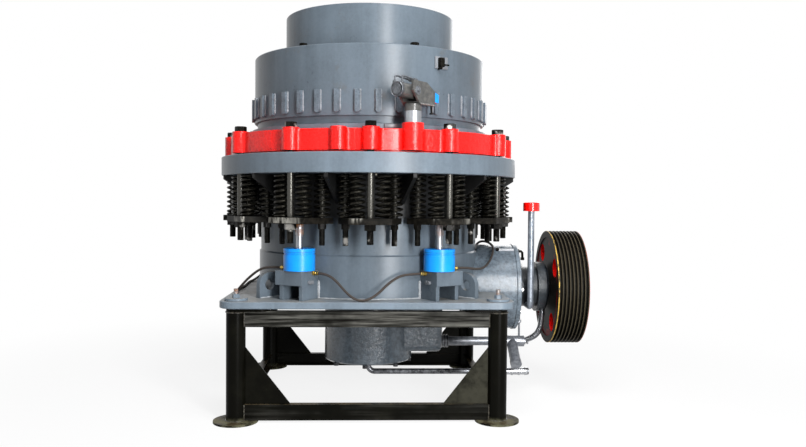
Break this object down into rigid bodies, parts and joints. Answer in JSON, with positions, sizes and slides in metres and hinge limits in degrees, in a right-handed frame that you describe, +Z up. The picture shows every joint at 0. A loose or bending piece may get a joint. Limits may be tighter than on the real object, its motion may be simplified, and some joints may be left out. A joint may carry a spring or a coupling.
{
  "type": "cone crusher",
  "caption": "Spring cone crusher on a pipe-leg stand, with a red adjustment ring, feed hopper, hydraulic jacks and pusher, and a grooved belt sheave on its countershaft.",
  "frame": {"origin": "on the machine's vertical axis at ground level, midway between the four feet", "axes": "+Z up along the machine's axis, +X towards the belt sheave, front facing -Y"},
  "size_m": [2.843, 2.3805, 2.952],
  "materials": {
    "stand_paint": "semi-gloss black paint, worn",
    "frame_paint": "blue-grey paint, dusty",
    "cast_grey": "rough casting, grey",
    "ring_red": "red paint, satin",
    "bolt_steel": "bare steel, oxidised",
    "spring_steel": "dark spring steel",
    "jack_blue": "glossy blue paint",
    "rod_steel": "polished steel, rusty at the top",
    "brass_fitting": "brass",
    "hose_rubber": "brown-black rubber",
    "cap_paint": "blue-grey paint",
    "manganese_liner": "rough manganese steel casting",
    "post_steel": "polished steel",
    "pusher_blue": "blue paint",
    "sheave_black": "black paint with worn edges",
    "pipe_grey": "grey paint",
    "breather_red": "bright red paint",
    "pusher_grey": "dark grey paint",
    "plate_black": "black paint, worn along the edges"
  },
  "bodies": {
    "frame": {"legs": "stand_paint", "bottom_beams": "stand_paint", "top_beams": "stand_paint", "gussets": "stand_paint", "base_plate": "frame_paint", "hold_downs": "bolt_steel", "frame_shell": "frame_paint", "main_flange": "frame_paint", "flange_ribs": "frame_paint", "frame_hub": "cast_grey", "hub_cover": "cast_grey", "countershaft_housing": "cast_grey", "bearing_cap": "cast_grey", "coil_springs": "spring_steel", "jack_cylinders": "jack_blue", "jack_brackets": "frame_paint", "lifting_ears": "frame_paint", "hose_fittings": "brass_fitting", "mantle": "manganese_liner", "feed_plate": "manganese_liner", "oil_return_pipe": "pipe_grey", "return_tee": "pipe_grey", "drain_riser": "post_steel", "drip_pipe": "post_steel", "oil_inlet_pipe": "post_steel", "breather_pipe": "post_steel", "breather_cap": "breather_red", "hose_front": "hose_rubber", "hose_right": "hose_rubber", "hose_left": "hose_rubber"},
    "sheave": {"countershaft": "bolt_steel", "drive_sheave": "sheave_black"},
    "ring": {"adjustment_ring": "ring_red", "clamp_ring": "frame_paint", "main_bolts": "bolt_steel", "spring_studs": "bolt_steel", "spring_plates": "plate_black", "jack_rods": "rod_steel", "pusher_post": "post_steel"},
    "bowl": {"adjusting_cap": "cap_paint", "dust_skirt": "cap_paint", "drive_lugs": "cap_paint", "feed_hopper": "cap_paint", "bowl": "manganese_liner", "bowl_liner": "manganese_liner", "feed_cone": "cap_paint"},
    "pusher": {"pusher_yoke": "pusher_grey", "pusher_ram": "pusher_grey", "pusher_head": "pusher_blue"}
  },
  "joints": [
    {"name": "sheave_turn", "type": "hinge", "parent": "frame", "child": "sheave", "pos_m": [1.5, 0, 0.848], "axis": [1, 0, 0], "continuous": true},
    {"name": "ring_lift", "type": "slide", "parent": "frame", "child": "ring", "axis": [0, 0, 1], "range_m": [0, 0.06], "deforming": ["coil_springs"]},
    {"name": "bowl_turn", "type": "hinge", "parent": "ring", "child": "bowl", "pos_m": [0, 0, 2.2], "axis": [0, 0, 1], "range_deg": [-180, 180]},
    {"name": "pusher_swing", "type": "hinge", "parent": "ring", "child": "pusher", "pos_m": [0.29495, -1.04933, 2.15], "axis": [0, 0, 1], "range_deg": [-40, 0]}
  ]
}
